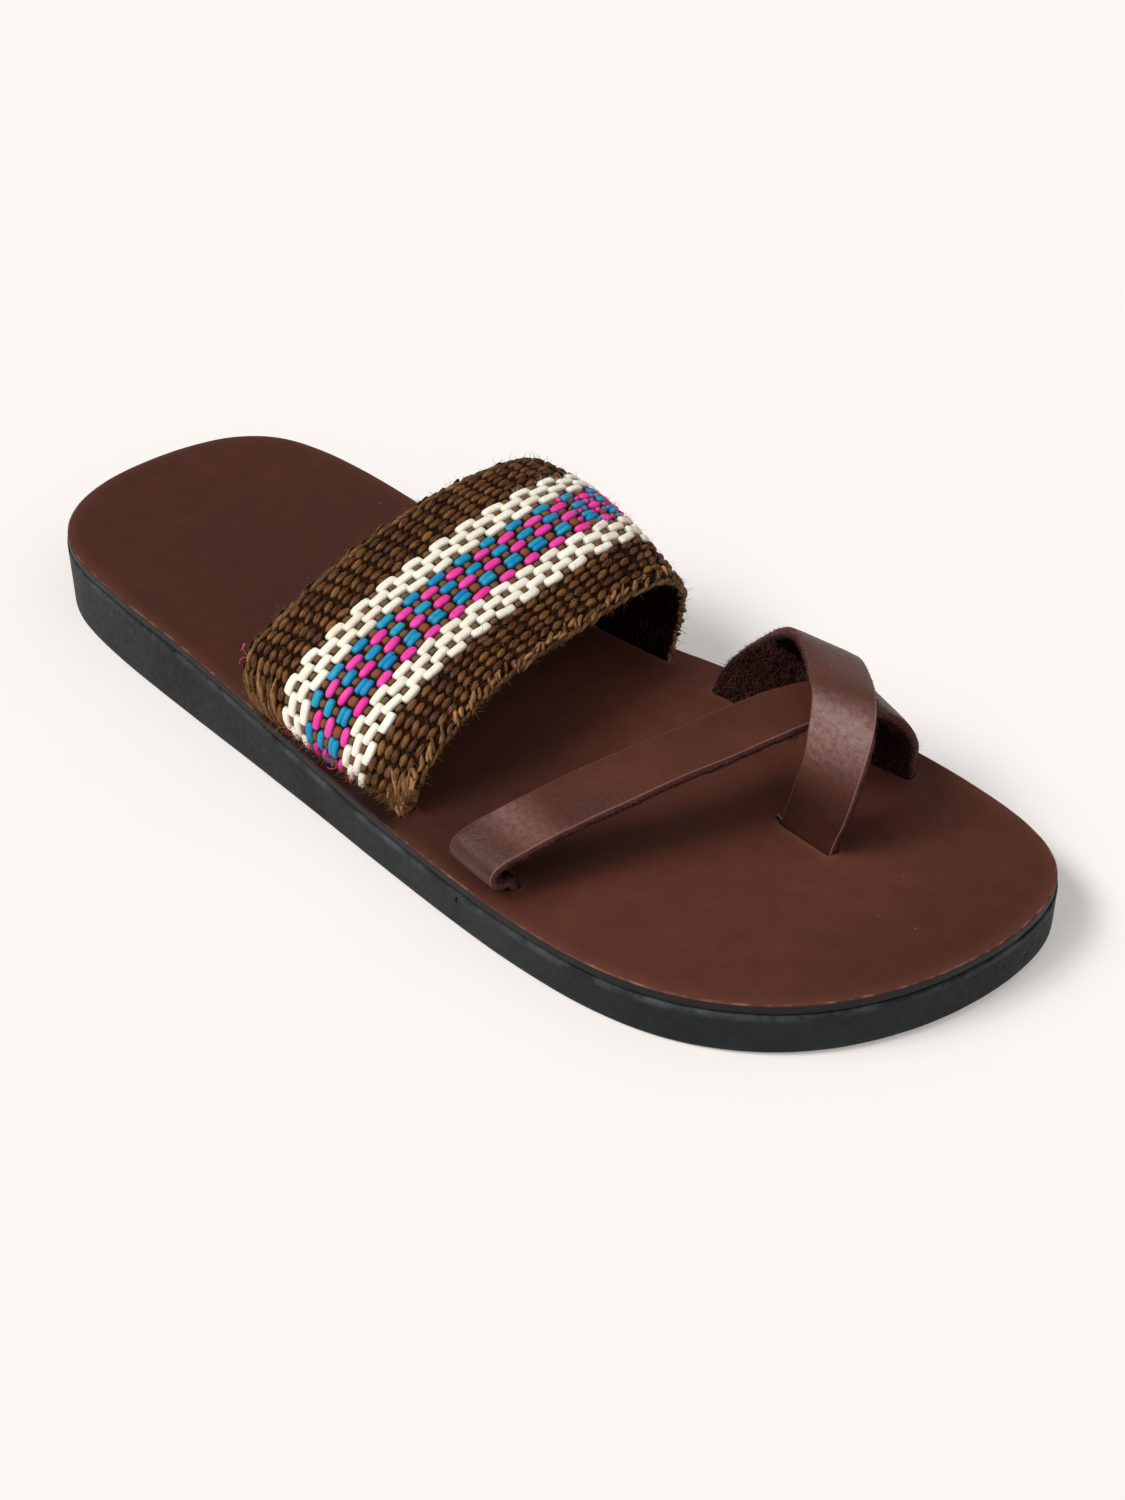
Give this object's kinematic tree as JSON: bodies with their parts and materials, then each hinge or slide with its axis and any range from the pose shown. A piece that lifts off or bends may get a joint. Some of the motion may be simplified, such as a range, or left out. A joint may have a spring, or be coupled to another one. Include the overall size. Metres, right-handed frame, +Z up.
{
  "type": "toe ring sandal",
  "caption": "Flat right-foot sandal: wide woven band over the instep, slanting leather strap and leather loop for the big toe, on a leather-topped rubber sole.",
  "frame": {"origin": "middle of the bounding box, at floor level", "axes": "+X from heel to toe, +Y towards the big toe side, +Z up from the floor"},
  "size_m": [0.277, 0.1068, 0.0504],
  "materials": {
    "black_rubber": "matt charcoal-black rubber with scuffed edges",
    "footbed_leather": "smooth dark brown leather, cut edge dyed black",
    "woven_webbing": "coarse warp-faced webbing, brown with ivory, blue and pink lengthwise stripes",
    "strap_leather": "satin dark brown leather, raw fuzzy cut edge"
  },
  "bodies": {
    "root": {"outsole": "black_rubber", "insole": "footbed_leather", "woven_band": "woven_webbing", "cross_strap": "strap_leather", "toe_loop": "strap_leather"}
  },
  "joints": []
}
